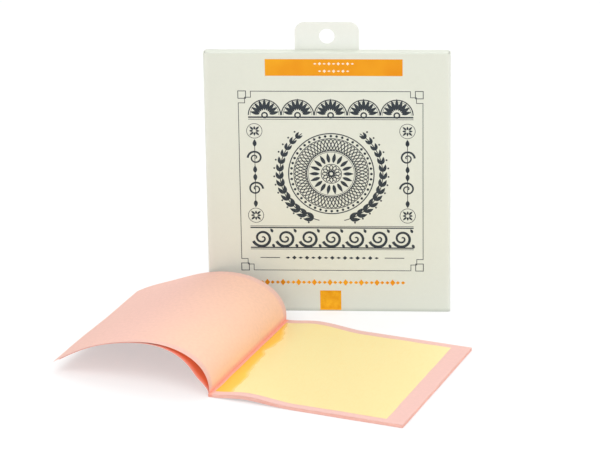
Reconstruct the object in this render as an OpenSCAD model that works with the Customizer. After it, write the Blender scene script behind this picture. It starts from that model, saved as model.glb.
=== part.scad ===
// Gold leaf booklet, open at its first leaf, with the folded card sleeve that it is sold in.
// The booklet lies on the table: 25 gold leaves between thin tissue pages, a back cover below and a
// front cover turned over to the left together with the first tissue page. X runs from the spine to
// the fore edge, Y along the spine, Z up. The origin is the middle of the foot of the whole set.

/* [Pages] */
// Width of a page, from the spine to the fore edge
page_w = 90; // [86:1:110]
// Length of a page along the spine
page_d = 87; // [84:1:100]
// Thickness of a tissue page
tissue_t = 0.03; // [0.03:0.005:0.06]
// Thickness of a cover
cover_t = 0.2; // [0.15:0.01:0.3]

/* [Gold leaf] */
// Side of the square gold leaf
leaf_w = 80; // [70:1:82]
// Thickness that stands for a gold leaf
leaf_t = 0.015; // [0.015:0.005:0.03]
// Bare strip of page between the spine and the gold
leaf_inset = 1.5; // [1:0.25:2.5]

/* [Lie of the block] */
// How far the closed pages arch off the table beside the spine
hump_h = 1.4; // [0.8:0.1:2]
// Distance from the spine to the top of that arch
hump_x = 17; // [14:0.5:20]
// Distance from the spine to where the pages lie flat again
hump_end = 39; // [34:1:46]
// Share by which the pages stand apart at the top of the arch
fluff = 0.18; // [0:0.02:0.24]
// Width of the glue strip on the spine
glue_w = 0.5; // [0.4:0.05:0.8]

/* [Turned sheets] */
// Steepness that the turned page has at the spine over its later slope, degrees
curl = 81.6; // [76:0.4:84]
// Length over which that steepness fades
curl_len = 17; // [15:0.5:19]
// Slope that the turned page would keep without its droop, degrees
rise = 14.4; // [13:0.2:16]
// Droop of the turned page from the spine to its edge, degrees
droop = 47.7; // [45.9:0.9:50.4]
// Widest gap between the turned page and the front cover
cover_gap = 4.3; // [1.5:0.1:5]
// Distance from the spine, along the sheet, to that gap
gap_at = 12; // [10:0.5:14]
// How far the front cover stops short of the turned page
cover_short = 3.5; // [1:0.5:6]

/* [Sleeve] */
// Width of the sleeve
sleeve_w = 111; // [100:1:120]
// Height of the sleeve without its hang tab
sleeve_h = 125.5; // [110:0.5:140]
// Depth of the pocket inside
pocket_t = 3.6; // [3:0.1:5]
// Thickness of the card
card_t = 0.5; // [0.4:0.05:0.7]
// Outer radius of the folds down both sides
fold_r = 0.9; // [0.75:0.05:1.4]
// Turn of the sleeve from the line of the booklet's far edge, degrees
sleeve_turn = 19.5; // [12:0.5:24]
// Clear space between the far edge of the pages and the sleeve's near corner
sleeve_clear = 1; // [1:0.5:8]
// Left corner of the sleeve, to the left of the spine
sleeve_left = 38.8; // [36:0.2:43]

/* [Hang tab and flap] */
// Width of the hang tab
tab_w = 28.8; // [24:0.2:34]
// Height of the hang tab above the sleeve
tab_h = 13; // [11:0.2:15]
// Corner radius of the hang tab
tab_r = 4.5; // [3:0.25:5]
// Diameter of the hang hole
hole_d = 7; // [5:0.1:8]
// Height of the hang hole's centre above the sleeve
hole_up = 6.4; // [5.4:0.1:7]
// Length of the tongue that tucks into the pocket
tongue_h = 10; // [7:0.5:14]
// Corner radius of that tongue
tongue_r = 5; // [2:0.5:6]

/* [Hidden] */
leaf_count = 25;
air = 0.005; // clear space between neighbouring sheets
turned_air = 0.1; // least clear space between the two turned sheets
fit = 0.05; // clear space round the flap
pitch = tissue_t + leaf_t + air;
block_t = cover_t + air + leaf_count * pitch;
foot_z = block_t + 0.02; // where the turned sheets leave the glue
leaf_end = leaf_inset + leaf_w;
leaf_y = (page_d - leaf_w) / 2;
hump_steps = 24;
turn_steps = 45;
sleeve_t = pocket_t + 2 * card_t;
sleeve_y = page_d + sleeve_clear;

// The slope of the turned page at a distance s along it, 90 being straight up
function slope(s) = curl * exp(-pow(s / curl_len, 1.3)) + rise - droop * s / page_w;
ds = page_w / turn_steps;
turned_x = [for (i = 0, x = 0; i <= turn_steps; x = x - ds * cos(slope((i + 0.5) * ds)), i = i + 1) x];
turned_z = [for (i = 0, z = foot_z; i <= turn_steps; z = z + ds * sin(slope((i + 0.5) * ds)), i = i + 1) z];
tip_x = turned_x[turn_steps];

// A point of the turned stack: step i along the page, at a depth d under its upper face
function turned(i, d) = [
    turned_x[i] - d * sin(slope(i * ds)),
    turned_z[i] - d * cos(slope(i * ds))
];
// Depth of the front cover's upper face under the turned page's
function cover_depth(s) = tissue_t + turned_air + cover_gap * pow(s / gap_at * exp(1 - s / gap_at), 2);

// The arch of the closed pages: 0 at the spine and on the flat, 1 at its top
function arch(x) =
    x < hump_x ? (1 - cos(180 * x / hump_x)) / 2 :
    x < hump_end ? (1 + cos(180 * (x - hump_x) / (hump_end - hump_x))) / 2 : 0;
// Height, at a distance x from the spine, of the face that is h above the table on the flat
function level(x, h) = hump_h * arch(x) + h * (1 + fluff * arch(x));
leaf_steps = [
    for (i = [0:hump_steps]) leaf_inset + i * (hump_end - leaf_inset) / hump_steps,
    leaf_end
];
page_steps = [0, each leaf_steps, page_w];
// Outline of a closed sheet of thickness t whose lower face is at height h
function sheet_outline(steps, h, t) = [
    for (x = steps) [x, level(x, h)],
    for (i = [len(steps) - 1:-1:0]) [steps[i], level(steps[i], h) + t]
];
function page_h(n) = cover_t + air + (leaf_count - n) * pitch;

// The box round the whole set, whose middle is the origin
turn_c = cos(sleeve_turn);
turn_s = sin(sleeve_turn);
origin_x = (page_w + tip_x) / 2;
origin_y = (sleeve_y + sleeve_w * turn_s + sleeve_t * turn_c) / 2;

function two(n) = n < 10 ? str("0", n) : str(n);

module placed() {
    translate([-origin_x, -origin_y, 0]) children();
}

// A sheet bent only across the spine: its outline in X and Z, drawn out along Y
module sheet(outline, y, d) {
    translate([0, y + d, 0]) rotate([90, 0, 0]) linear_extrude(height = d) polygon(outline);
}

module back_cover() {
    color([0.96, 0.68, 0.62]) placed() sheet(sheet_outline(page_steps, 0, cover_t), 0, page_d);
}

module page(n) {
    color([0.97, 0.77, 0.72]) placed() sheet(sheet_outline(page_steps, page_h(n), tissue_t), 0, page_d);
}

module gold_leaf(n) {
    color([0.99, 0.89, 0.55]) placed()
        sheet(sheet_outline(leaf_steps, page_h(n) + tissue_t, leaf_t), leaf_y, leaf_w);
}

// The strip of padding glue that holds every sheet by its spine edge
module spine_glue() {
    color([0.95, 0.62, 0.55]) placed() translate([-glue_w, 0, 0]) cube([glue_w, page_d, block_t]);
}

// The first tissue page, turned over to the left in a high arch
module turned_page() {
    outline = [
        for (i = [0:turn_steps]) turned(i, 0),
        for (i = [turn_steps:-1:0]) turned(i, tissue_t)
    ];
    color([0.98, 0.80, 0.74]) placed() sheet(outline, 0, page_d);
}

// The front cover, turned over under that page and standing off it near the spine
module front_cover() {
    last = floor((page_w - cover_short) / ds);
    outline = [
        for (i = [0:last]) turned(i, cover_depth(i * ds)),
        for (i = [last:-1:0]) turned(i, cover_depth(i * ds) + cover_t)
    ];
    color([0.96, 0.72, 0.66]) placed() sheet(outline, 0, page_d);
}

// The sleeve stands on its foot: X along its front, Y into its depth, Z up
module in_sleeve() {
    color([0.90, 0.91, 0.87]) placed() translate([-sleeve_left, sleeve_y, 0]) rotate([0, 0, sleeve_turn])
        children();
}

// The sleeve's section seen from above: a flat tube of card with rounded folds
module tube_outline(inset) {
    r = fold_r - inset;
    translate([inset, inset]) {
        translate([0, r]) square([sleeve_w - 2 * inset, sleeve_t - 2 * inset - 2 * r]);
        translate([r, 0]) square([sleeve_w - 2 * inset - 2 * r, sleeve_t - 2 * inset]);
    }
    for (x = [fold_r, sleeve_w - fold_r], y = [fold_r, sleeve_t - fold_r])
        translate([x, y]) circle(r = r, $fn = 48);
}

// The part of that section between two depths, as far up as h
module tube_part(from, to, h) {
    linear_extrude(height = h) intersection() {
        difference() {
            tube_outline(0);
            tube_outline(card_t);
        }
        translate([0, from]) square([sleeve_w, to - from]);
    }
}

// The front panel with the rounded folds at its two sides
module sleeve_front_panel() {
    in_sleeve() tube_part(0, fold_r, sleeve_h - card_t);
}

module tab_outline() {
    translate([-tab_w / 2, -card_t]) square([tab_w, tab_h - tab_r + card_t]);
    translate([tab_r - tab_w / 2, 0]) square([tab_w - 2 * tab_r, tab_h]);
    for (side = [-1, 1]) translate([side * (tab_w / 2 - tab_r), tab_h - tab_r]) circle(r = tab_r, $fn = 64);
}

// The back panel with the other two folds, running up into the hang tab
module sleeve_back_panel() {
    in_sleeve() difference() {
        union() {
            tube_part(sleeve_t - fold_r, sleeve_t, sleeve_h - card_t);
            translate([0, sleeve_t, 0]) rotate([90, 0, 0]) linear_extrude(height = card_t) {
                translate([fold_r, sleeve_h - 2 * card_t]) square([sleeve_w - 2 * fold_r, 2 * card_t]);
                translate([sleeve_w / 2, sleeve_h]) tab_outline();
            }
        }
        translate([sleeve_w / 2, sleeve_t + 1, sleeve_h + hole_up]) rotate([90, 0, 0])
            cylinder(h = card_t + 2, d = hole_d, $fn = 64);
    }
}

// The two narrow walls between the folds
module sleeve_side_walls() {
    in_sleeve() tube_part(fold_r, sleeve_t - fold_r, sleeve_h - card_t);
}

module sleeve_bottom_wall() {
    in_sleeve() linear_extrude(height = card_t) tube_outline(card_t);
}

// The strip that closes the pocket, folded back from the top of the front panel
module sleeve_top_flap() {
    in_sleeve() translate([fold_r, 0, sleeve_h - card_t])
        cube([sleeve_w - 2 * fold_r, pocket_t - fit, card_t]);
}

// The tongue at the rear edge of the flap, tucked down in front of the back panel
module sleeve_tuck_tongue() {
    in_sleeve() translate([sleeve_w / 2, pocket_t - fit + card_t, sleeve_h - card_t])
        rotate([90, 0, 0]) linear_extrude(height = card_t) tongue_outline();
}

module tongue_outline() {
    half = sleeve_w / 2 - 2 * fold_r;
    translate([-half, tongue_r - tongue_h]) square([2 * half, tongue_h - tongue_r]);
    translate([tongue_r - half, -tongue_h]) square([2 * (half - tongue_r), tongue_r]);
    for (side = [-1, 1]) translate([side * (half - tongue_r), tongue_r - tongue_h])
        circle(r = tongue_r, $fn = 64);
}

back_cover();
spine_glue();
front_cover();
turned_page();
for (n = [1:leaf_count]) {
    page(n);
    gold_leaf(n);
}
sleeve_front_panel();
sleeve_back_panel();
sleeve_side_walls();
sleeve_bottom_wall();
sleeve_top_flap();
sleeve_tuck_tongue();
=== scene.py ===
"""Gold leaf booklet, open at its first leaf, in front of the card sleeve that it is sold in.

Shapes are worked out in millimetres. Booklet: x runs from the spine to the fore edge, y along the
spine, z up from the table. Sleeve: u runs along its width, w into its depth, v up.
"""
import math

import bpy
import numpy as np
from mathutils import Matrix


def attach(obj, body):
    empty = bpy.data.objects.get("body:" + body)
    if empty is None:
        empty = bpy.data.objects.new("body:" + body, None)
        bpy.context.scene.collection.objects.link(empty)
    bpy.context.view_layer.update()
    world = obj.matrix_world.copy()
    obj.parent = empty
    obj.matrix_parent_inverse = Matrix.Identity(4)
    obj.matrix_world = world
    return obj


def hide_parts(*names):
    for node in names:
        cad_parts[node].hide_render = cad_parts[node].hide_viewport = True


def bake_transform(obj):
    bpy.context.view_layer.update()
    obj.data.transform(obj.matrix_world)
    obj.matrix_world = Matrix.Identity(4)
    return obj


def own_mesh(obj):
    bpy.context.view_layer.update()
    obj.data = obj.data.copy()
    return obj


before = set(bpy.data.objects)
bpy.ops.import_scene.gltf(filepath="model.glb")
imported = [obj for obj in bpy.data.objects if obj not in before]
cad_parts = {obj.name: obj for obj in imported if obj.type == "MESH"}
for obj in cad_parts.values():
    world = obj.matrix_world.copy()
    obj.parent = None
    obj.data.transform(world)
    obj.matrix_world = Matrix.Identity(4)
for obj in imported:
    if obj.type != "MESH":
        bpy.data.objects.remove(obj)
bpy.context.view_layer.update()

# Sizes, in millimetres and degrees
PAGE_W, PAGE_D = 90.0, 87.0
TISSUE, COVER, LEAF_T, AIR = 0.03, 0.2, 0.015, 0.005
LEAF_COUNT = 25
PITCH = TISSUE + LEAF_T + AIR
BLOCK_T = COVER + AIR + LEAF_COUNT * PITCH
FOOT_Z = BLOCK_T + 0.02                     # where the turned page leaves the glue
LEAF_W, LEAF_INSET, LEAF_LIFT = 80.0, 1.5, 0.003
SETTLE = PITCH - TISSUE - LEAF_LIFT         # how far a page's bare margin sinks
HUMP_H, HUMP_X, HUMP_END, FLUFF = 1.4, 17.0, 39.0, 0.18
# Band of painted reflection on the gold by the spine: its width, taper, notch and tail.
REFLECTION_W, REFLECTION_TAPER, REFLECTION_NOTCH, REFLECTION_TAIL = 9.4, 2.4, 1.7, 4.8
BEND_LEN = 26.0                             # the first page's bending length; the point it gives is not used
GLUE_W = 0.5
CURL, CURL_LEN, CURL_FADE, RISE, DROOP, TURN_STEPS = 81.6, 17.0, 1.3, 14.4, 47.7, 45
COCKLE, SAG, SAG_AT, SAG_LEN = 0.35, 2.0, 68.0, 16.0
TURNED_AIR, COVER_GAP, GAP_AT, COVER_SHORT = 0.1, 4.3, 12.0, 3.5
SLEEVE_W, SLEEVE_H, POCKET, CARD, FOLD = 111.0, 125.5, 3.6, 0.5, 0.9
SLEEVE_T = POCKET + 2 * CARD
SLEEVE_GAP, SWELL = 1.0, 0.12
SLEEVE_LEFT, SLEEVE_Y, SLEEVE_TURN = 38.8, PAGE_D + SLEEVE_GAP, math.radians(19.5)
TAB_W, TAB_H, TAB_R, HOLE_R, HOLE_UP = 28.8, 13.0, 4.5, 3.5, 6.4
TONGUE_H, TONGUE_R, FIT = 10.0, 5.0, 0.05
PRINT = 0.02                                # height of the print over the card


# The turned line and the origin
def slope(s):
    """Slope at s along the turned page: a steepness that fades as exp(-(s / CURL_LEN) ^ CURL_FADE), over
    a rise that droops evenly."""
    return np.radians(CURL * np.exp(-((s / CURL_LEN) ** CURL_FADE)) + RISE - DROOP * s / PAGE_W)


def run_along(stations):
    """X and Z of the turned page's upper face at stations along it: the slope's sines and cosines at the
    middle of each step, added up from the glue."""
    middle, step = slope((stations[1:] + stations[:-1]) / 2), np.diff(stations)
    x = np.concatenate([[0], np.cumsum(-np.cos(middle) * step)])
    return x, FOOT_Z + np.concatenate([[0], np.cumsum(np.sin(middle) * step)])


LINE_S = np.linspace(0, PAGE_W, 8 * int(PAGE_W) + 1)
LINE_X, LINE_Z = run_along(LINE_S)
TIP_X = run_along(np.linspace(0, PAGE_W, TURN_STEPS + 1))[0][-1]
REAR_Y = SLEEVE_Y + SLEEVE_W * math.sin(SLEEVE_TURN) + SLEEVE_T * math.cos(SLEEVE_TURN)
ORIGIN = np.array([(PAGE_W + TIP_X) / 2, REAR_Y / 2, 0])


# Places and unevenness
def row(x, y, z):
    """Booklet millimetres to the frame's metres."""
    return (np.stack(np.broadcast_arrays(x, y, z), -1).astype(float) - ORIGIN) / 1000


def in_sleeve(u, w, v):
    """Sleeve millimetres to the frame's metres: turned about its left front corner."""
    c, s = math.cos(SLEEVE_TURN), math.sin(SLEEVE_TURN)
    return row(-SLEEVE_LEFT + u * c - w * s, SLEEVE_Y + u * s + w * c, v)


def ripples(x, y, size, seed, count=9):
    """Smooth unevenness between about -1 and 1: plane waves of random direction, with lengths round
    size, added up."""
    rng = np.random.default_rng(seed)
    angle, phase = rng.uniform(0, 2 * np.pi, (2, count))
    k = 2 * np.pi / (size * rng.uniform(0.7, 1.6, count))
    x, y = np.broadcast_arrays(x, y)
    arg = x[..., None] * k * np.cos(angle) + y[..., None] * k * np.sin(angle) + phase
    return np.sin(arg).sum(-1) / (1.2 * math.sqrt(count))


def ramp(t, a, b):
    """0 before a, 1 after b, smooth between them."""
    t = np.clip((t - a) / (b - a), 0, 1)
    return t * t * (3 - 2 * t)


# Mesh builders
def build(name, points, faces, material, body, nodes=(), uv=None, sharp=35, **attributes):
    """A mesh object from an array of points and a list of face arrays, one array for each face size.
    It rides on a body and replaces the CAD nodes named."""
    mesh = bpy.data.meshes.new(name)
    loops = np.concatenate([f.ravel() for f in faces]).astype(np.int32)
    sizes = np.concatenate([np.full(len(f), f.shape[1]) for f in faces])
    starts = np.concatenate([[0], np.cumsum(sizes)[:-1]]).astype(np.int32)
    mesh.vertices.add(len(points))
    mesh.vertices.foreach_set("co", np.ascontiguousarray(points, np.float32).ravel())
    mesh.loops.add(len(loops))
    mesh.loops.foreach_set("vertex_index", loops)
    mesh.polygons.add(len(sizes))
    mesh.polygons.foreach_set("loop_start", starts)
    mesh.update(calc_edges=True)
    mesh.polygons.foreach_set("use_smooth", np.ones(len(sizes), bool))
    mesh.set_sharp_from_angle(angle=math.radians(sharp))
    if uv is not None:
        mesh.uv_layers.new(name="UVMap").data.foreach_set("uv", uv[loops].astype(np.float32).ravel())
    for key, values in attributes.items():
        mesh.attributes.new(key, "FLOAT", "POINT").data.foreach_set("value", values.astype(np.float32))
    mesh.materials.append(material)
    piece = bpy.data.objects.new(name, mesh)
    bpy.context.scene.collection.objects.link(piece)
    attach(piece, body)
    if nodes:
        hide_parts(*nodes)
    return piece


def grid_faces(rows, cols, closed=False):
    """Quads of a closed wall between two grids of rows x cols points, the second one reversed, with
    the rims stitched. A grid that is closed joins its last row to its first."""
    i = np.arange(rows * cols).reshape(rows, cols)
    if closed:
        i = np.concatenate([i, i[:1]])
    top = np.stack([i[:-1, :-1], i[1:, :-1], i[1:, 1:], i[:-1, 1:]], -1).reshape(-1, 4)
    under = top[:, ::-1] + rows * cols
    rims = [i[:, 0], i[::-1, -1]]
    if not closed:
        rims += [i[-1], i[0, ::-1]]
    walls = [np.stack([r[:-1] + rows * cols, r[1:] + rows * cols, r[1:], r[:-1]], -1) for r in rims]
    return np.concatenate([top, under] + walls)


def wall(outer, inner, closed=False):
    """Points and quads of a closed wall between two grids of points, where outer faces outwards."""
    rows, cols = outer.shape[:2]
    return np.concatenate([outer.reshape(-1, 3), inner.reshape(-1, 3)]), grid_faces(rows, cols, closed)


def shell(name, outer, inner, material, body, nodes=(), uv=None, **attributes):
    """One wall as a piece."""
    points, faces = wall(outer, inner)
    if uv is not None:
        uv = np.concatenate([uv.reshape(-1, 2)] * 2)
    return build(name, points, [faces], material, body, nodes, uv, **attributes)


def together(name, walls, material, body, nodes=(), **attributes):
    """Several walls as one piece."""
    first = np.cumsum([0] + [len(points) for points, _ in walls])
    points = np.concatenate([points for points, _ in walls])
    faces = np.concatenate([faces + k for (_, faces), k in zip(walls, first)])
    return build(name, points, [faces], material, body, nodes, **attributes)


def bar_faces(stations, sides, first=0):
    """Faces of a solid bar: rings of so many sides at so many stations, quads between the rings and a
    face over each end."""
    i = first + np.arange(stations * sides).reshape(stations, sides)
    j = np.roll(i, -1, axis=1)
    skin = np.stack([i[:-1], j[:-1], j[1:], i[1:]], -1).reshape(-1, 4)
    return skin, np.stack([i[0, ::-1], i[-1]])


# Shader effects
def group(name, inputs, outputs):
    """An empty node group with named sockets: (tree, its input node, its output node)."""
    tree = bpy.data.node_groups.new(name, "ShaderNodeTree")
    for label, kind, value in inputs:
        socket = tree.interface.new_socket(label, in_out="INPUT", socket_type=kind)
        if value is not None:
            socket.default_value = value
    for label, kind in outputs:
        tree.interface.new_socket(label, in_out="OUTPUT", socket_type=kind)
    return tree, tree.nodes.new("NodeGroupInput"), tree.nodes.new("NodeGroupOutput")


def node(tree, kind, links=(), **values):
    """A node with its properties and socket values set and its inputs linked."""
    n = tree.nodes.new(kind)
    for key, value in values.items():
        if hasattr(n, key):
            setattr(n, key, value)
        else:
            n.inputs[key.replace("_", " ")].default_value = value
    for socket, source in dict(links).items():
        tree.links.new(source, n.inputs[socket])
    return n


def math_node(tree, operation, a, b=0.0, clamp=False):
    """One arithmetic step between two sockets or numbers."""
    n = tree.nodes.new("ShaderNodeMath")
    n.operation, n.use_clamp = operation, clamp
    for k, value in enumerate((a, b)):
        if isinstance(value, (int, float)):
            n.inputs[k].default_value = value
        else:
            tree.links.new(value, n.inputs[k])
    return n.outputs[0]


def noise(tree, vector, scale, detail=2.0, rough=0.5, stretch=None, turn=0.0):
    """Noise at a scale, if asked stretched along one direction: the value between 0 and 1."""
    if stretch is not None:
        vector = node(tree, "ShaderNodeMapping", {"Vector": vector}, Rotation=(0, 0, turn),
                      Scale=stretch).outputs[0]
    n = node(tree, "ShaderNodeTexNoise", {"Vector": vector}, Detail=detail, Roughness=rough)
    if isinstance(scale, (int, float)):
        n.inputs["Scale"].default_value = scale
    else:
        tree.links.new(scale, n.inputs["Scale"])
    return n.outputs[0]


def paper_group():
    """Pulp of paper and card: fine fibres laid in three directions, cloudy mottle, and the height of
    both. Shade is 1 on average."""
    tree, i, o = group("pulp", [
        ("Vector", "NodeSocketVector", None), ("Scale", "NodeSocketFloat", 1.0),
        ("Fibres", "NodeSocketFloat", 0.05), ("Clouds", "NodeSocketFloat", 0.03)],
        [("Shade", "NodeSocketFloat"), ("Height", "NodeSocketFloat")])
    scaled = node(tree, "ShaderNodeVectorMath", {0: i.outputs["Vector"], "Scale": i.outputs["Scale"]},
                  operation="SCALE").outputs[0]
    threads = [noise(tree, scaled, 900.0, 2.0, 0.6, (1.0, 0.12, 1.0), turn) for turn in (0.3, 1.4, 2.5)]
    fibre = math_node(tree, "MAXIMUM", math_node(tree, "MAXIMUM", threads[0], threads[1]), threads[2])
    cloud = noise(tree, scaled, 60.0, 4.0, 0.6)
    a = math_node(tree, "MULTIPLY", math_node(tree, "SUBTRACT", fibre, 0.58), i.outputs["Fibres"])
    b = math_node(tree, "MULTIPLY", math_node(tree, "SUBTRACT", cloud, 0.5), i.outputs["Clouds"])
    total = math_node(tree, "ADD", a, b)
    tree.links.new(math_node(tree, "ADD", total, 1.0), o.inputs["Shade"])
    tree.links.new(math_node(tree, "ADD", fibre, math_node(tree, "MULTIPLY", cloud, 0.7)),
                   o.inputs["Height"])
    return tree


def crease_group():
    """Folds of beaten leaf: long faint crossing creases from the edges of stretched cells, soft
    pillows between them, and a fine grain."""
    tree, i, o = group("creases", [
        ("Vector", "NodeSocketVector", None), ("Scale", "NodeSocketFloat", 1.0)],
        [("Height", "NodeSocketFloat"), ("Mask", "NodeSocketFloat")])
    scaled = node(tree, "ShaderNodeVectorMath", {0: i.outputs["Vector"], "Scale": i.outputs["Scale"]},
                  operation="SCALE").outputs[0]
    wobble = noise(tree, scaled, 40.0, 3.0)
    warped = node(tree, "ShaderNodeVectorMath", {0: scaled, 1: wobble}, operation="ADD").outputs[0]
    lines = []
    for size, turn, stretch in ((55.0, 0.5, (1.0, 0.35, 1.0)), (130.0, 1.9, (1.0, 0.5, 1.0))):
        place = node(tree, "ShaderNodeMapping", {"Vector": scaled}, Rotation=(0, 0, turn),
                     Scale=stretch).outputs[0]
        cell = node(tree, "ShaderNodeTexVoronoi", {"Vector": place}, feature="DISTANCE_TO_EDGE",
                    Scale=size)
        lines.append(node(tree, "ShaderNodeMapRange", {0: cell.outputs["Distance"]},
                          interpolation_type="SMOOTHSTEP", From_Max=0.07).outputs[0])
    faint = math_node(tree, "ADD", math_node(tree, "MULTIPLY", lines[1], 0.5), 0.5)
    valley = math_node(tree, "MULTIPLY", lines[0], faint)
    pillow = noise(tree, warped, 25.0, 3.0, 0.55)
    grain = noise(tree, scaled, 1400.0, 2.0, 0.5)
    swell = math_node(tree, "ADD", math_node(tree, "MULTIPLY", pillow, 1.5),
                      math_node(tree, "MULTIPLY", grain, 0.06))
    height = math_node(tree, "ADD", math_node(tree, "MULTIPLY", valley, 0.5), swell)
    tree.links.new(height, o.inputs["Height"])
    tree.links.new(valley, o.inputs["Mask"])
    return tree


PULP = paper_group()
CREASES = crease_group()


def rgb(r, g, b):
    """A colour as it shows, 0 to 255, as the linear colour of a socket."""
    c = np.array([r, g, b]) / 255
    return (*np.where(c < 0.04045, c / 12.92, ((c + 0.055) / 1.055) ** 2.4), 1.0)


def grey(value):
    """A linear grey as the colour of a socket."""
    return (value, value, value, 1)


def mix(tree, factor, a, b, blend="MIX"):
    """A colour mixed from two sockets or colours."""
    n = tree.nodes.new("ShaderNodeMix")
    n.data_type, n.blend_type = "RGBA", blend
    for socket, value in ((n.inputs[0], factor), (n.inputs[6], a), (n.inputs[7], b)):
        if isinstance(value, (int, float, tuple)):
            socket.default_value = value
        else:
            tree.links.new(value, socket)
    return n.outputs[2]


def shade(tree, colour, value):
    """A colour times a value near 1."""
    even = node(tree, "ShaderNodeCombineColor", {0: value, 1: value, 2: value}).outputs[0]
    return mix(tree, 1.0, colour, even, "MULTIPLY")


def new_material(name, **surface):
    """A material with its Principled shader's own values set: (material, tree, shader)."""
    material = bpy.data.materials.new(name)
    material.use_nodes = True
    tree = material.node_tree
    shader = tree.nodes["Principled BSDF"]
    for key, value in surface.items():
        shader.inputs[key.replace("_", " ")].default_value = value
    return material, tree, shader


def coordinates(tree, kind="UV"):
    """The piece's own UV map, or its Object coordinates."""
    return node(tree, "ShaderNodeTexCoord").outputs[kind]


def place_group(tree, effect, vector, **values):
    """A shader effect placed in a material with its own values."""
    n = node(tree, "ShaderNodeGroup", node_tree=effect)
    tree.links.new(vector, n.inputs["Vector"])
    for key, value in values.items():
        n.inputs[key].default_value = value
    return n


def bump(tree, shader, height, strength, distance):
    """Height in the shader's normal."""
    b = node(tree, "ShaderNodeBump", {"Height": height}, Strength=strength, Distance=distance)
    tree.links.new(b.outputs[0], shader.inputs["Normal"])


def mask(tree, name):
    """A value laid on the mesh's points, 0 where a mesh has none."""
    return node(tree, "ShaderNodeAttribute", attribute_name=name).outputs["Fac"]


GAP_GLOW = (0.06, 0.055, 0.025, 1)          # painted light: glows for the light through the sheets at the gap


def paper(name, face, rough, fibres=0.06, clouds=0.05, relief=0.00003):
    """Dyed paper. By one mask it is painted paler and warmer: painted light, for the warm light that the
    gold leaf throws back onto the turned page. In the gap and the crease at the spine it is painted a
    deep salmon, where its colour doubles on itself: painted shade. In the gap it also glows a little:
    painted light, an emission that stands in for the light that comes through the sheet."""
    material, tree, shader = new_material(name, Roughness=rough, Specular_IOR_Level=0.2)
    pulp = place_group(tree, PULP, coordinates(tree), Fibres=fibres, Clouds=clouds)
    # Painted light: paler and warmer where the gold leaf throws warm light back onto the turned page.
    colour = mix(tree, mask(tree, "gilded"), face, rgb(252, 206, 177))
    # Painted shade: a deeper salmon in the crease at the spine, for light bounced between the pink
    # sheets.
    colour = mix(tree, mask(tree, "crease"), colour, rgb(255, 184, 164))
    # Painted shade: a deep salmon in the gap between the turned sheets.
    colour = mix(tree, mask(tree, "inside"), colour, rgb(252, 118, 80))
    # Painted light: a faint glow in the gap, standing in for light that comes through the sheets.
    through = mix(tree, mask(tree, "inside"), grey(0), GAP_GLOW)
    tree.links.new(through, shader.inputs["Emission Color"])
    shader.inputs["Emission Strength"].default_value = 1.0
    tree.links.new(shade(tree, colour, pulp.outputs["Shade"]), shader.inputs["Base Color"])
    bump(tree, shader, pulp.outputs["Height"], 0.5, relief)
    return material


TISSUE_PAPER = paper("tissue_paper", rgb(235, 193, 184), 0.75, clouds=0.12)
TURNED_TISSUE = paper("turned_tissue_paper", rgb(237, 194, 181), 0.75, fibres=0.09, clouds=0.2)
COVER_PAPER = paper("cover_paper", rgb(253, 186, 172), 0.6, fibres=0.04, relief=0.00004)
# Painted light: a paler copy of the tissue for the pages below the top, seen only at the block's sides.
LIT_STACK_PAPER = paper("page_stack_paper_lit", rgb(255, 210, 197), 0.8)


def leaf_metal():
    """Beaten gold: bright, a little rough, with faint creases that catch the light and whose lines are
    painted a hair darker, painted shade. In a band by the spine it is painted a deeper orange, a painted
    reflection of the pink page turned up over it, and made smoother there."""
    material, tree, shader = new_material("beaten_gold", Metallic=0.2, Specular_IOR_Level=0.5)
    fold = place_group(tree, CREASES, coordinates(tree), Scale=1.0)
    cloud = noise(tree, coordinates(tree), 30.0, 3.0)
    pressed = mask(tree, "pressed")
    colour = mix(tree, cloud, rgb(255, 235, 168), rgb(255, 238, 175))
    # Painted shade: the crease lines are a hair darker than the leaf between them.
    colour = mix(tree, fold.outputs["Mask"], rgb(255, 234, 166), colour)
    # Painted reflection: a deeper orange band by the spine, for the pink page seen in the leaf.
    colour = mix(tree, pressed, colour, rgb(253, 212, 78))
    tree.links.new(colour, shader.inputs["Base Color"])
    rough = node(tree, "ShaderNodeMapRange", {0: cloud}, To_Min=0.26, To_Max=0.34).outputs[0]
    rough = math_node(tree, "SUBTRACT", rough, math_node(tree, "MULTIPLY", pressed, 0.12))
    tree.links.new(rough, shader.inputs["Roughness"])
    bump(tree, shader, fold.outputs["Height"], 0.2, 0.00006)
    return material


GOLD = leaf_metal()


def glue_plastic():
    """Padding glue: a soft dried coat with small waves."""
    material, tree, shader = new_material("padding_glue", Roughness=0.45)
    n = noise(tree, coordinates(tree, "Object"), 350.0, 3.0)
    tree.links.new(mix(tree, n, rgb(240, 150, 130), rgb(250, 175, 155)), shader.inputs["Base Color"])
    bump(tree, shader, n, 0.5, 0.0001)
    return material


GLUE = glue_plastic()


def card_stock(name, face):
    """White-lined folding card with pulp in it: painted paler over its folds, a painted highlight, and a
    little grey at its foot, painted shade.
    """
    material, tree, shader = new_material(name, Roughness=0.62, Specular_IOR_Level=0.3)
    pulp = place_group(tree, PULP, coordinates(tree, "Object"), Scale=0.6, Fibres=0.05, Clouds=0.05)
    # Painted highlight: paler where the rounded folds catch the light.
    colour = mix(tree, mask(tree, "fold"), face, rgb(239, 241, 234))
    # Painted shade: greyer along the foot.
    colour = mix(tree, mask(tree, "foot"), colour, rgb(196, 201, 190))
    tree.links.new(shade(tree, colour, pulp.outputs["Shade"]), shader.inputs["Base Color"])
    bump(tree, shader, pulp.outputs["Height"], 0.4, 0.00003)
    return material


CARD_FRONT = card_stock("sleeve_card", rgb(223, 226, 214))
CARD_BARE = card_stock("bare_card", rgb(234, 236, 228))


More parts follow.
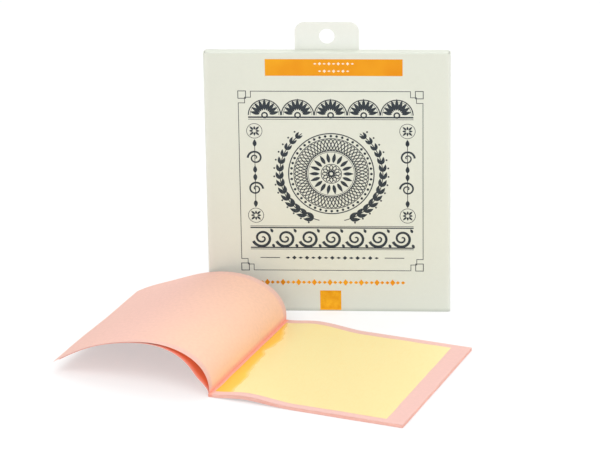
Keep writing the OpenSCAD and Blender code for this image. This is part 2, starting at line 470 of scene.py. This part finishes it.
def ink(name, colour, thin, rough):
    """Printing ink with thin places where the card shows through a little."""
    material, tree, shader = new_material(name, Roughness=rough)
    n = noise(tree, coordinates(tree, "Object"), 1500.0, 3.0, 0.6)
    worn = node(tree, "ShaderNodeMapRange", {0: n}, From_Min=0.5, From_Max=0.8).outputs[0]
    tree.links.new(mix(tree, worn, colour, thin), shader.inputs["Base Color"])
    return material


def foil(name, low, high, rough, cloud_size):
    """Hot-stamped foil: metal with a fine grain and colour clouded at one size; broad clouds are a
    painted sheen, small ones the foil's own mottle.
    """
    material, tree, shader = new_material(name, Metallic=0.75)
    grain = noise(tree, coordinates(tree, "Object"), 900.0, 3.0, 0.6)
    broad = noise(tree, coordinates(tree, "Object"), cloud_size, 3.0, 0.6)
    cloud = node(tree, "ShaderNodeMapRange", {0: broad}, From_Min=0.32, From_Max=0.68).outputs[0]
    tree.links.new(mix(tree, cloud, low, high), shader.inputs["Base Color"])
    worn = node(tree, "ShaderNodeMapRange", {0: grain}, To_Min=rough - 0.08, To_Max=rough + 0.1)
    tree.links.new(worn.outputs[0], shader.inputs["Roughness"])
    bump(tree, shader, grain, 0.2, 0.00005)
    return material


DARK_INK = ink("dark_ink", rgb(26, 38, 48), rgb(66, 78, 84), 0.55)
PALE_INK = ink("pale_ink", rgb(250, 236, 214), rgb(248, 214, 160), 0.5)
# The band's broad clouds of colour are a painted sheen.
ORANGE_FOIL = foil("orange_foil", rgb(228, 137, 12), rgb(240, 169, 34), 0.35, 26.0)
GOLD_FOIL = foil("gold_foil", rgb(236, 156, 12), rgb(250, 184, 36), 0.32, 420.0)


# The closed block
def arch(x):
    """The low arch beside the spine: a cosine rise to 1 at HUMP_X and a cosine fall to 0 at HUMP_END."""
    up = (1 - np.cos(np.pi * x / HUMP_X)) / 2
    down = (1 + np.cos(np.pi * (x - HUMP_X) / (HUMP_END - HUMP_X))) / 2
    return np.where(x < HUMP_X, up, np.where(x < HUMP_END, down, 0.0))


def level(x, h):
    """Height at x of a face that is h above the table on the flat."""
    return HUMP_H * arch(x) + h * (1 + FLUFF * arch(x))


def page_h(n):
    """Height of page n over the table on the flat: the cover and the pages and leaves below it."""
    return COVER + AIR + (LEAF_COUNT - n) * PITCH


def steps(stop, fine, coarse, turn=44.0):
    """Stations from 0 to stop: fine as far as turn, over the arch, and coarse beyond it."""
    flat = np.linspace(turn, stop, int((stop - turn) / coarse) + 1)
    return np.concatenate([np.arange(0, turn, fine), flat])


def flat_sheet(name, h, thick, material, body, node_name, seed, fine=1.0, coarse=3.0, trim=0.06,
               settle=SETTLE):
    """A page or cover of the block: level(x, h) over its width, with edges trimmed a hair unevenly. Its
    bare margins settle onto the page below, and the one at the spine is painted the crease's deeper
    salmon, painted shade."""
    x, y = np.meshgrid(steps(PAGE_W, fine, coarse), np.linspace(0, PAGE_D, int(PAGE_D / coarse) + 1),
                       indexing="ij")
    z = level(x, h)
    shift = np.random.default_rng(seed).uniform(-1, 1, 3) * trim
    off_middle, half, leaf_end = np.abs(y - PAGE_D / 2), PAGE_D / 2, LEAF_INSET + LEAF_W
    y2 = y + (shift[0] + trim * ripples(x, 0 * x, 18, seed)) * np.where(y > half, 1, -1) * \
        ramp(off_middle, half - 6, half)
    x2 = x + (shift[1] + trim * ripples(0 * y, y, 18, seed + 50)) * ramp(x, PAGE_W - 6, PAGE_W)
    bare = np.maximum(ramp(off_middle, LEAF_W / 2 + 0.4, LEAF_W / 2 + 1.6),
                      np.maximum(ramp(x, leaf_end + 0.4, leaf_end + 1.6), ramp(-x, 0.2 - LEAF_INSET, 0)))
    uv = np.stack([x, y], -1) / 100 + 0.137 * seed
    # Painted shade: the margin at the spine takes the crease's deeper salmon.
    crease = np.tile((1 - ramp(x, 0.8, LEAF_INSET + 0.4)).ravel(), 2)
    return shell(name, row(x2, y2, z + thick), row(x2, y2, z - settle * bare), material, body,
                 [node_name], uv, crease=crease)


flat_sheet("back_cover_paper", 0.0, COVER, COVER_PAPER, "block", "back_cover", 90, settle=0.0)
for n in range(2, LEAF_COUNT + 1):
    uppermost = n == 2
    # Pages below the uppermost take the paler copy of the tissue: painted light on the block's sides.
    flat_sheet(f"tissue_{n:02d}", page_h(n), TISSUE, TISSUE_PAPER if uppermost else LIT_STACK_PAPER, "block",
               f"page_{n:02d}", n, coarse=1.5 if uppermost else 3.0,
               settle=LEAF_LIFT if n == LEAF_COUNT else SETTLE)


def leaf_sheet(n, count, fold, body):
    """A gold leaf on its page: the page's level with an edge that wanders, and low rounded folds. By the
    spine it carries a band of painted reflection, which narrows from its near end and has a notch midway."""
    p, q = np.meshgrid(np.linspace(0, 1, count), np.linspace(0, 1, min(count, 160)), indexing="ij")
    x = LEAF_INSET + LEAF_W * p
    y = (PAGE_D - LEAF_W) / 2 + LEAF_W * q
    x2 = x + 0.1 * ripples(0 * q, y, 14, 300 + n) * (ramp(p, 0.9, 1) + ramp(p, 0.1, 0))
    y2 = y + 0.1 * ripples(x, 0 * p, 14, 400 + n) * (ramp(q, 0.9, 1) + ramp(q, 0.1, 0))
    base = level(x2, page_h(n) + TISSUE)
    rise = fold * (0.5 + 0.5 * ripples(x, y, 12, 500 + n)) ** 2
    uv = np.stack([x, y], -1) / 100 + 0.071 * n
    notch = np.exp(-(((y - 50.5) / 4) ** 2))
    reach = REFLECTION_W - REFLECTION_TAPER * ramp(y, 8, 40) - REFLECTION_NOTCH * notch - \
        REFLECTION_TAIL * ramp(y, 63, 85) + 0.3 * ripples(0 * x, y, 32, 600 + n) + \
        0.45 * ripples(x, y, 11, 700 + n)
    # The band of painted reflection, where the leaf is painted deeper gold and made smoother.
    pressed = np.tile((1 - ramp(x, reach - 1.6, reach + 1.2)).ravel(), 2)
    return shell(f"leaf_{n:02d}", row(x2, y2, base + LEAF_T + rise), row(x2, y2, base + LEAF_LIFT),
                 GOLD, body, [f"gold_leaf_{n:02d}"], uv, pressed=pressed)


leaf_sheet(2, 90, 0.0, "block")
for n in range(3, LEAF_COUNT + 1):
    leaf_sheet(n, 60, 0.0, "block")


# The first page and its leaf
page = flat_sheet("tissue_01", page_h(1), TISSUE, TISSUE_PAPER, "block", "page_01", 1, fine=0.25,
                  coarse=1.5)
leaf = leaf_sheet(1, 260, 0.05, "block")
bend_start, bend_end = row(0, PAGE_D / 2, BLOCK_T), row(BEND_LEN, PAGE_D / 2, BLOCK_T)
for sheet in (page, leaf):
    sheet.parent = None
    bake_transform(sheet)


# The turned sheets
def turned_points(s, depth, y):
    """Points of the turned stack at s along it and a depth under the page's upper face. A slow cockle
    that grows from the spine moves both sheets alike, and so does a sag round SAG_AT, down at the far
    edge and a little up at the near one."""
    cockle = COCKLE * ripples(s, y, 55, 7) * ramp(s, 10, 60)
    cockle -= np.exp(-(((s - SAG_AT) / SAG_LEN) ** 2)) * \
        (SAG * ramp(y, 30, PAGE_D) - SAG / 4 * ramp(45 - y, 0, 45))
    angle = slope(s)
    d = depth - cockle
    return row(np.interp(s, LINE_S, LINE_X) - d * np.sin(angle), y,
               np.interp(s, LINE_S, LINE_Z) - d * np.cos(angle))


def cover_depth(s):
    """Depth of the front cover's upper face: a gap that is widest GAP_AT from the spine, as the square of
    t exp(1 - t) with t = s / GAP_AT."""
    g = s / GAP_AT * np.exp(1 - s / GAP_AT)
    return TISSUE + TURNED_AIR + COVER_GAP * g * g


def turned_sheet(name, length, top, thick, material, body, node_name, seed):
    """A turned sheet: the turned line carried along the spine, top(s) being its upper face's depth."""
    s, y = np.meshgrid(np.linspace(0, length ** 0.5, 120) ** 2, np.linspace(0, PAGE_D, 88),
                       indexing="ij")
    edge = 0.08 * ripples(s, 0 * s, 20, seed)
    y2 = y + edge * ramp(np.abs(y - PAGE_D / 2), PAGE_D / 2 - 5, PAGE_D / 2)
    depth = top(s)
    uv = np.stack([s, y], -1) / 100 + 0.31 * seed
    # Painted shade in the gap between the turned page and the front cover, growing with the gap's width.
    gap = ramp(cover_depth(s), 0.5, 1.6)
    # On the cover the painted shade fades out along the near and far edges, a lighter strip there.
    rim = 0.35 * ramp(gap, 0, 0.4) + 0.65 * ramp(np.minimum(y, PAGE_D - y), 0.8, 2.4)
    none = 0 * s
    if node_name == "front_cover":
        under, upper, gilded, crease = none, gap * rim, none, none
    else:
        # Painted light: warmer and paler towards the gold, over the leaf's width, fading from the spine.
        margin = ramp(np.minimum(y, PAGE_D - y), 2.2, 4.2) * ramp(s, 0.5, 3)
        gilded = margin * (1 - ramp(s, 8, 62)) * (0.92 + 0.08 * ripples(s, y, 25, 31))
        # Painted shade: the page's underside in the gap, and its face by the spine at the crease.
        under, upper, crease = gap, none, 1 - ramp(s, 0.3, 3.2)
    piece = shell(name, turned_points(s, depth + thick, y2), turned_points(s, depth, y2), material, body,
                  [node_name], uv, inside=np.concatenate([under.ravel(), upper.ravel()]),
                  gilded=np.concatenate([none.ravel(), gilded.ravel()]),
                  crease=np.concatenate([none.ravel(), crease.ravel()]))
    tuple(row(0, PAGE_D / 2, FOOT_Z - 0.15))
    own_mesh(piece)
    return piece


turned_sheet("turned_tissue", PAGE_W, lambda s: 0 * s, TISSUE, TURNED_TISSUE, "turned_page",
             "turned_page", 3)
turned_sheet("front_cover_paper", PAGE_W - COVER_SHORT, cover_depth, COVER, COVER_PAPER, "front_cover",
             "front_cover", 4)


# The glue on the spine
def spine_strip():
    """Padding glue brushed over the spine: a half oval section with small waves along it."""
    y = np.linspace(0, PAGE_D, 120)[:, None]
    t = np.linspace(-np.pi / 2, np.pi / 2, 12)[None, :]
    thick = GLUE_W * (0.9 + 0.1 * ripples(y, 3 * t, 9, 11))
    bulge = np.cos(t) ** 0.35
    ring_x = np.concatenate([-thick * bulge, np.zeros((len(y), 2))], 1)
    ring_z = np.concatenate([BLOCK_T * (0.5 + 0.5 * np.sin(t)) + 0 * y, BLOCK_T + 0 * y, 0 * y], 1)
    points = row(ring_x, y, ring_z)
    skin, ends = bar_faces(len(y), ring_x.shape[1])
    return build("glue_strip", points.reshape(-1, 3), [skin, ends], GLUE, "block", ["spine_glue"])


spine_strip()


# The sleeve
def bow(u, v):
    """Depth by which a panel of the sleeve swells outwards, in millimetres: nothing at its folds, and
    between them the power 0.6 of a sine, uneven by broad ripples."""
    across = np.sin(np.pi * np.clip(u / SLEEVE_W, 0, 1)) ** 0.6
    return SWELL * across * (0.6 + 0.5 * ripples(u, v, 70, 21))


def fold_path(depth):
    """The panel's section at a depth inside its outer face: a fold, the flat and a fold. Its points run
    along the width: (u, w)."""
    r = FOLD - depth
    a = np.linspace(0, np.pi / 2, 11)
    left = np.stack([FOLD - r * np.cos(a), FOLD - r * np.sin(a)], 1)
    flat = np.stack([np.linspace(FOLD, SLEEVE_W - FOLD, 64)[1:-1], np.full(62, depth)], 1)
    right = np.stack([SLEEVE_W - FOLD + r * np.sin(a), FOLD - r * np.cos(a)], 1)
    return np.concatenate([left, flat, right])


def side_walls(inside_out=False):
    """A panel with its two folds: its outer and inner section carried up as two grids, with the widths
    and heights of the inner one. A panel turned inside out is the back one."""
    v = np.linspace(0, SLEEVE_H - CARD, 72)[None, :]
    grids = []
    for depth in (0.0, CARD):
        path = fold_path(depth)
        u, w = path[:, :1] + 0 * v, path[:, 1:] - bow(path[:, :1], v)
        grids.append(in_sleeve(u, SLEEVE_T - w if inside_out else w, v + 0 * u))
    return *grids, u, v + 0 * u


def front_panel():
    """The front of the sleeve with the rounded fold at each side, swelling a little between them."""
    outer, inner, u, v = side_walls()
    # Painted highlight over the side folds, and painted shade along the foot of the panel.
    fold = 0.5 * np.tile((1 - ramp(np.minimum(u, SLEEVE_W - u), 0.3, 1.3)).ravel(), 2)
    foot = np.tile((1 - ramp(v, 0.2, 1.1)).ravel(), 2)
    return together("front_panel_card", [wall(outer, inner)], CARD_FRONT, "sleeve",
                    ["sleeve_front_panel"], fold=fold, foot=foot)


def tab_rings():
    """The hang tab's outline, run round against the clock from its left foot, and the hole's rim at the
    same bearings: two loops of (u, v)."""
    half, top = TAB_W / 2, TAB_H
    turn = np.linspace(0, np.pi / 2, 17)[1:-1]
    across = np.linspace(-1, 1, 25)[:, None]
    foot = np.concatenate([across * half, 0 * across], 1)
    right = np.stack([np.full(14, half), np.linspace(0, top - TAB_R, 15)[1:]], 1)
    bend_a = np.stack([half - TAB_R + TAB_R * np.cos(turn), top - TAB_R + TAB_R * np.sin(turn)], 1)
    lid = np.stack([np.linspace(half - TAB_R, TAB_R - half, 23), np.full(23, top)], 1)
    bend_b = bend_a[::-1] * (-1, 1)
    left = right[::-1] * (-1, 1)
    outline = np.concatenate([foot, right, bend_a, lid, bend_b, left])
    bearing = np.arctan2(outline[:, 1] - HOLE_UP, outline[:, 0])
    rim = np.stack([HOLE_R * np.cos(bearing), HOLE_UP + HOLE_R * np.sin(bearing)], 1)
    return outline + (SLEEVE_W / 2, SLEEVE_H), rim + (SLEEVE_W / 2, SLEEVE_H)


def back_panel():
    """The back of the sleeve with its folds, the strip over them and the hang tab: a flat ring between
    the tab's outline and the round hole."""
    outer, inner = side_walls(inside_out=True)[:2]
    w0, w1 = SLEEVE_T - CARD, SLEEVE_T
    su, sv = np.meshgrid(np.linspace(FOLD, SLEEVE_W - FOLD, 60),
                         np.linspace(SLEEVE_H - CARD, SLEEVE_H, 3), indexing="ij")
    outline, rim = tab_rings()
    t = np.linspace(0, 1, 9)[None, :, None]
    ring = outline[:, None] * (1 - t) + rim[:, None] * t
    ru, rv = ring[..., 0], ring[..., 1]
    walls = [wall(inner, outer), wall(in_sleeve(su, w0, sv), in_sleeve(su, w1, sv)),
             wall(in_sleeve(ru, w0, rv), in_sleeve(ru, w1, rv), True)]
    return together("back_panel_card", walls, CARD_BARE, "sleeve", ["sleeve_back_panel"])


def edge_walls():
    """The two narrow walls between the folds, hollowed a hair along their middle by a sine."""
    w, v = np.meshgrid(np.linspace(FOLD, SLEEVE_T - FOLD, 12), np.linspace(0, SLEEVE_H - CARD, 60),
                       indexing="ij")
    dent = 0.06 * np.sin(np.pi * (w - FOLD) / (SLEEVE_T - 2 * FOLD))
    left = wall(in_sleeve(dent, w, v)[::-1], in_sleeve(dent + CARD, w, v)[::-1])
    right = wall(in_sleeve(SLEEVE_W - dent, w, v), in_sleeve(SLEEVE_W - CARD - dent, w, v))
    return together("edge_walls_card", [left, right], CARD_FRONT, "sleeve", ["sleeve_side_walls"])


def top_flap():
    """The strip over the pocket: its section bends over the front edge in a quarter circle and runs flat
    to the rear. It faces the light, so its card is toned down a little by painted shade, and its front
    bend has a faint painted highlight."""
    a = np.linspace(np.pi, np.pi / 2, 9)
    r = CARD - FIT
    w = np.concatenate([[0.0], r + r * np.cos(a), np.linspace(r, POCKET - FIT, 9)[1:]])
    rise = np.concatenate([[0.02], FIT + r * np.sin(a), np.full(8, CARD)])
    u = np.linspace(FOLD, SLEEVE_W - FOLD, 70)[:, None]
    base = SLEEVE_H - CARD
    sag = 0.03 * ripples(u, 0 * u, 60, 41)
    upper = in_sleeve(u + 0 * w, w + 0 * u, base + rise + sag * (rise > 0.3))
    lower = in_sleeve(u + 0 * w, w + 0 * u, base + 0 * (u + w))
    # Painted highlight along the front bend, and a quarter of the foot's grey all over: painted shade.
    fold = 0.2 * np.tile((1 - ramp(w + 0 * u, 0.3, 0.8)).ravel(), 2)
    return together("top_flap_card", [wall(upper, lower)], CARD_FRONT, "top_flap", ["sleeve_top_flap"],
                    fold=fold, foot=np.full(2 * u.size * w.size, 0.25))


def tuck_tongue():
    """The tongue inside the pocket: a strip whose lower edge ends in a quarter circle at each side."""
    half = SLEEVE_W / 2 - 2 * FOLD
    k = np.sin(np.linspace(-np.pi / 2, np.pi / 2, 90))[:, None] * half
    over = np.clip(np.abs(k) - (half - TONGUE_R), 0, TONGUE_R)
    low = -TONGUE_H + TONGUE_R - np.sqrt(np.maximum(TONGUE_R ** 2 - over ** 2, 0.01))
    t = np.linspace(0, 1, 8)[None, :]
    u, v = SLEEVE_W / 2 + k + 0 * t, SLEEVE_H - CARD + low * (1 - t)
    w = POCKET - FIT
    return together("tuck_tongue_card", [wall(in_sleeve(u, w, v), in_sleeve(u, w + CARD, v))],
                    CARD_BARE, "tuck_tongue", ["sleeve_tuck_tongue"])


front_panel()
back_panel()
edge_walls()
top_flap()
tuck_tongue()
foot_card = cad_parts["sleeve_bottom_wall"]
foot_card.data.materials.clear()
foot_card.data.materials.append(CARD_BARE)


# The print
class Plate:
    """Lines of a printing plate, each a flat ribbon along a path of (u, v) points."""

    def __init__(self):
        """An empty plate. Count is the number of points so far."""
        self.points, self.skins, self.ends, self.count = [], [], [], 0

    def line(self, path, width, lift=PRINT):
        """One ribbon of a width, which may change along it, standing a hair off the card."""
        p = np.asarray(path, float)
        t = np.gradient(p, axis=0)
        t /= np.maximum(np.linalg.norm(t, axis=1, keepdims=True), 1e-9)
        side = np.stack([-t[:, 1], t[:, 0]], 1) * (np.broadcast_to(width, len(p)) / 2)[:, None]
        left, right = p + side, p - side
        ring = np.stack([left, right, right, left], 1)
        u, v = ring[..., 0], ring[..., 1]
        w = -bow(u, v) + np.array([-lift, -lift, 0.05, 0.05])
        skin, ends = bar_faces(len(p), 4, self.count)
        self.points.append(in_sleeve(u, w, v).reshape(-1, 3))
        self.skins.append(skin)
        self.ends.append(ends)
        self.count += len(p) * 4

    def arc(self, u, v, r, start, stop, width, points=48):
        """An arc of a circle, from start to stop in degrees."""
        a = np.radians(np.linspace(start, stop, points))
        self.line(np.stack([u + r * np.cos(a), v + r * np.sin(a)], 1), width)

    def rule(self, u0, v0, u1, v1, width, over=0.0):
        """A straight line, run on past both of its ends by over."""
        a, b = np.array([u0, v0], float), np.array([u1, v1], float)
        on = (b - a) / np.linalg.norm(b - a) * over
        self.line(np.linspace(a - on, b + on, 24), width)

    def lozenge(self, u, v, long, tall, lift=PRINT):
        """A filled lozenge: a ribbon whose width grows and shrinks evenly."""
        t = np.linspace(0, 1, 9)
        width = tall * (1 - np.abs(2 * t - 1)) + 0.01
        self.line(np.stack([u + (t - 0.5) * long, v + 0 * t], 1), width, lift)

    def blade(self, u, v, angle, long, wide, bend=0.0):
        """A leaf blade: a ribbon whose width follows a sine, along a bent stem."""
        t = np.linspace(0, 1, 14)
        a = math.radians(angle) + bend * t
        path = np.stack([u + long * np.cumsum(np.cos(a)) / 14, v + long * np.cumsum(np.sin(a)) / 14], 1)
        self.line(path, wide * np.sin(np.pi * t ** 0.8) + 0.02)

    def scroll(self, u, v, r, start, turns, width):
        """A scroll: a spiral that closes on its eye, thinning as it goes."""
        t = np.linspace(0, 1, 70)
        a = math.radians(start) + turns * 2 * np.pi * t
        rr = r * (1 - t) ** 0.8 + 0.25
        self.line(np.stack([u + rr * np.cos(a), v + rr * np.sin(a)], 1), width * (1 - 0.5 * t))

    def braid(self, u, v, radius, swing, lobes, strands, width):
        """A ring of crossing waves: radius plus swing times a cosine, once for each strand."""
        a = np.linspace(0, 2 * np.pi, 241)
        for k in range(strands):
            rr = radius + swing * np.cos(lobes * a + 2 * np.pi * k / strands)
            self.line(np.stack([u + rr * np.cos(a), v + rr * np.sin(a)], 1), width)

    def press(self, name, material):
        """The plate's ribbons as one piece on the sleeve."""
        faces = [np.concatenate(self.skins), np.concatenate(self.ends)]
        return build(name, np.concatenate(self.points), faces, material, "sleeve")


# Places of the print on the sleeve: its middle, its frame, and the heights of its rows
MID = 57.0
LEFT, RIGHT, LOW, HIGH = 15.4, 98.6, 20.2, 107.2
FANS_V, ROSETTE_V, WAVE_V, BEADS_V, RULE_V = 95.8, 67.6, 36.0, 26.4, 14.2
SPRAY_R, STEM_U = 23.4, 34.6
BAND_LEFT, BAND_RIGHT, BAND_V, BAND_H = 27.7, 89.5, 118.5, 7.9
SQUARE_LEFT, SQUARE_V, SQUARE_H = 51.2, 5.3, 9.7


def on_circle(u, v, r, degrees):
    """The point of a circle at a bearing."""
    return u + r * math.cos(math.radians(degrees)), v + r * math.sin(math.radians(degrees))


def frame_lines(plate):
    """A thin frame that steps in round its corners, with an open square in each corner."""
    step, half, side, over = 5.6, 2.9, 3.4, 0.1
    stair = [(step, 0), (step, half), (half, half), (half, step), (0, step)]
    square = [(-over, -over), (side, -over), (side, side), (-over, side), (-over, -over)]
    for flip_u, u0 in ((-1, RIGHT), (1, LEFT)):
        for flip_v, v0 in ((-1, HIGH), (1, LOW)):
            for path, width in ((stair, 0.3), (square, 0.34)):
                for (a, b), (c, d) in zip(path, path[1:]):
                    plate.rule(u0 + flip_u * a, v0 + flip_v * b, u0 + flip_u * c, v0 + flip_v * d, width,
                               width / 2)
    for v in (LOW, HIGH):
        plate.rule(LEFT + step, v, RIGHT - step, v, 0.3, 0.15)
    for u in (LEFT, RIGHT):
        plate.rule(u, LOW + step, u, HIGH - step, 0.3, 0.15)


def rosette(plate, u, v):
    """A woven round: a beaded rim, a braid, a ring of petals, a smaller braid and an eye."""
    for r, w in ((19.4, 0.5), (17.0, 0.35), (11.2, 0.5), (10.5, 0.2), (4.6, 0.35), (1.2, 0.9)):
        plate.arc(u, v, r, 0, 360, w, 121)
    for k in range(44):
        plate.blade(*on_circle(u, v, 17.45, 360 / 44 * k), 360 / 44 * k, 1.5, 1.25)
    plate.braid(u, v, 14.1, 2.5, 14, 4, 0.42)
    plate.braid(u, v, 2.9, 1.2, 6, 2, 0.4)
    for k in range(18):
        plate.blade(*on_circle(u, v, 5.0, 20 * k), 20 * k, 5.2, 1.6)


def spray(plate, u, v, r, side):
    """A laurel spray: a stem on an arc, paired blades that shrink to its tip, and a berry at each
    pair."""
    plate.arc(u, v, r, 270 + side * 14, 270 + side * 146, 0.4, 60)
    for k in range(14):
        a = 270 + side * (20 + 9 * k)
        size = 1 - 0.025 * k
        for out in (-1, 1):
            plate.blade(*on_circle(u, v, r, a), a + side * 90 + out * 34, 5.2 * size, 1.95 * size,
                        bend=-0.5 * out)
        plate.arc(*on_circle(u, v, r + 2.6, a + side * 4), 0.25, 0, 360, 0.4, 12)


def fan(plate, u, v, r):
    """A palmette: nine blades fanned over a small eye inside a double arch."""
    for j in range(9):
        a = 14 + 19 * j
        plate.blade(*on_circle(u, v, 1.9, a), a, r * (0.86 - 0.045 * abs(j - 4)), 1.6)
    plate.arc(u, v, 1.2, 0, 360, 0.7, 30)
    plate.arc(u, v, r + 0.2, 0, 180, 0.5, 40)
    plate.arc(u, v, r - 0.6, 0, 180, 0.18, 40)


def star(plate, u, v, r):
    """Eight blades, long and short in turn, in a ring."""
    for k in range(8):
        plate.blade(*on_circle(u, v, 0.5, 45 * k), 45 * k, r * (1 if k % 2 else 0.7), 0.95)
    plate.arc(u, v, r + 0.9, 0, 360, 0.25, 40)


def ornament(plate):
    """A woven rosette in two laurel sprays, fans in a row above, a running wave below, and stems with
    scrolls at the sides."""
    spread = RIGHT - LEFT - 8.6
    rosette(plate, MID, ROSETTE_V)
    for side in (-1, 1):
        spray(plate, MID, ROSETTE_V, SPRAY_R, side)
    for k in range(5):
        fan(plate, MID + (k - 2) * spread / 5, FANS_V, 7.1)
    for v, w in ((94.8, 0.7), (93.8, 0.25), (42.0, 0.25), (41.2, 0.6), (31.4, 0.6), (30.6, 0.25)):
        plate.rule(MID - spread / 2, v, MID + spread / 2, v, w)
    for k in range(7):
        u = MID + (k - 3) * spread / 7
        plate.scroll(u, WAVE_V, 4.1, 200, 1.7, 1.35)
        for rise, angle in ((2.6, 100), (-2.6, -80)):
            plate.blade(u + 4.8, WAVE_V + rise, angle, 2.4, 1.3, 0.6)
    for k in range(15):
        plate.lozenge(MID + (k - 7) * 2.9, BEADS_V, 2.1, 1.9 if k % 2 else 1.1)
    for side in (-1, 1):
        plate.rule(MID + side * 24, BEADS_V, MID + side * 33, BEADS_V, 0.35)
        u = MID + side * STEM_U
        star(plate, u, 88.2, 2.6)
        star(plate, u, 47.2, 2.6)
        plate.rule(u, 51.4, u, 84.0, 0.3)
        for v, way in ((75.2, 1), (60.2, -1)):
            plate.scroll(u - side * 0.1, v, 3.1, 90 - way * side * 90, side * way * 1.6, 0.95)
        for v, way in ((67.7, 1), (67.7, -1), (80.4, 1), (54.9, -1)):
            plate.blade(u, v, 90 * way, 3.8, 1.8)


dark = Plate()
frame_lines(dark)
ornament(dark)
dark.press("engraved_print", DARK_INK)

band = Plate()
band.line(np.linspace((BAND_LEFT, BAND_V), (BAND_RIGHT, BAND_V), 40), BAND_H)
band.press("foil_band", ORANGE_FOIL)

pearls = Plate()
for v, count in ((BAND_V + 1.8, 9), (BAND_V - 1.7, 7)):
    for k in range(count):
        u = (BAND_LEFT + BAND_RIGHT) / 2 + (k - (count - 1) / 2) * 2.1
        pearls.lozenge(u, v, 1.5, 1.5 if k % 2 else 0.8, 2 * PRINT)
pearls.press("band_lozenges", PALE_INK)

rule = Plate()
for k in range(-14, 15):
    long, tall = (2.0, 1.7) if k % 3 else (2.5, 3.2)
    rule.lozenge(MID - 1.2 + 2.4 * k, RULE_V, long, tall)
rule.press("ornament_rule", ORANGE_FOIL)

square = Plate()
square.line(np.linspace((SQUARE_LEFT, SQUARE_V), (SQUARE_LEFT + SQUARE_H, SQUARE_V), 12), SQUARE_H)
square.press("foil_square", GOLD_FOIL)


# Floor, light and camera
FLOOR_LIGHT, FLOOR_SEEN, ROOM_LIGHT = 0.85, 0.52, 0.62
LAMPS = {"key": ((-0.6, -0.7, 1.2), 0.9, 6.2),          # place, size and power
         "fill": ((1.0, -0.6, 0.9), 1.1, 6.5),
         "back": ((0.1, 0.65, 1.38), 1.0, 5.9)}
AROUND, UPWARDS, ROLL, FAR = 22.84, 21.70, -0.91, 1.5   # the camera, in degrees and metres
AIM = (-1.26, 107.92, 40.0)                             # in booklet millimetres
FOCAL_PX, FRAME_PX, SENSOR = 3268.9, 600, 36.0          # pixels of the frame's width, millimetres


def seen_directly(tree):
    """1 where the camera sees a surface, itself or in a shiny one, and 0 where it only gives light."""
    path = node(tree, "ShaderNodeLightPath")
    shiny = math_node(tree, "MAXIMUM", path.outputs["Is Glossy Ray"], path.outputs["Is Transmission Ray"])
    return math_node(tree, "MAXIMUM", path.outputs["Is Camera Ray"], shiny)


def plain_floor():
    """A pale flat grid under everything. The camera sees it white where it is lit, by its own light and
    what it gives back, and it lights the object as a plain pale sheet."""
    count, reach = 13, 3
    g = np.linspace(-reach, reach, count)
    x, y = np.meshgrid(g, g, indexing="ij")
    i = np.arange(count * count).reshape(count, count)
    quads = np.stack([i[:-1, :-1], i[1:, :-1], i[1:, 1:], i[:-1, 1:]], -1).reshape(-1, 4)
    mesh = bpy.data.meshes.new("floor")
    mesh.from_pydata(np.stack([x, y, 0 * x - 0.0001], -1).reshape(-1, 3).tolist(), [], quads.tolist())
    material, tree, shader = new_material("pale_floor", Roughness=0.9, Specular_IOR_Level=0.0)
    seen = seen_directly(tree)
    tree.links.new(mix(tree, seen, grey(FLOOR_LIGHT), grey(FLOOR_SEEN)), shader.inputs["Base Color"])
    tree.links.new(mix(tree, seen, grey(0), grey(1 - FLOOR_SEEN)), shader.inputs["Emission Color"])
    shader.inputs["Emission Strength"].default_value = 1.0
    mesh.materials.append(material)
    floor = bpy.data.objects.new("floor", mesh)
    bpy.context.scene.collection.objects.link(floor)


def facing(back, place, roll=0.0):
    """The matrix of a camera or lamp at a place whose back points along a direction."""
    across = np.cross((0, 0, 1), back)
    across /= np.linalg.norm(across)
    up = np.cross(back, across)
    c, s = math.cos(roll), math.sin(roll)
    across, up = across * c + up * s, up * c - across * s
    m = np.eye(4)
    m[:3, 0], m[:3, 1], m[:3, 2], m[:3, 3] = across, up, back, place
    return Matrix(m.tolist())


def studio_light():
    """An even white surround and three large soft lamps that face the middle of the booklet."""
    world = bpy.data.worlds.new("studio")
    bpy.context.scene.world = world
    world.use_nodes = True
    tree = world.node_tree
    tree.nodes.clear()
    light = node(tree, "ShaderNodeBackground", Color=grey(1), Strength=ROOM_LIGHT)
    white = node(tree, "ShaderNodeBackground", Color=grey(1), Strength=1.0)
    both = node(tree, "ShaderNodeMixShader", {0: seen_directly(tree), 1: light.outputs[0],
                                              2: white.outputs[0]})
    node(tree, "ShaderNodeOutputWorld", {0: both.outputs[0]})
    for name, (place, size, power) in LAMPS.items():
        lamp = bpy.data.lights.new(name, "AREA")
        lamp.size, lamp.energy = size, power
        holder = bpy.data.objects.new(name, lamp)
        bpy.context.scene.collection.objects.link(holder)
        back = np.array(place) - (0, 0, 0.03)
        holder.matrix_world = facing(back / np.linalg.norm(back), np.array(place))


def photo_camera():
    """The photograph's camera: its distance from the point that it is aimed at, how far up and round
    it stands, and its roll."""
    a, e = math.radians(AROUND), math.radians(UPWARDS)
    back = np.array([math.sin(a) * math.cos(e), -math.cos(a) * math.cos(e), math.sin(e)])
    camera = bpy.data.cameras.new("camera")
    camera.sensor_fit, camera.sensor_width = "HORIZONTAL", SENSOR
    camera.lens = FOCAL_PX / FRAME_PX * SENSOR
    camera.clip_start, camera.clip_end = 0.01, 20
    holder = bpy.data.objects.new("camera", camera)
    bpy.context.scene.collection.objects.link(holder)
    holder.matrix_world = facing(back, row(*AIM) + FAR * back, math.radians(ROLL))
    bpy.context.scene.camera = holder


plain_floor()
studio_light()
photo_camera()
bpy.context.scene.view_settings.view_transform = "Standard"
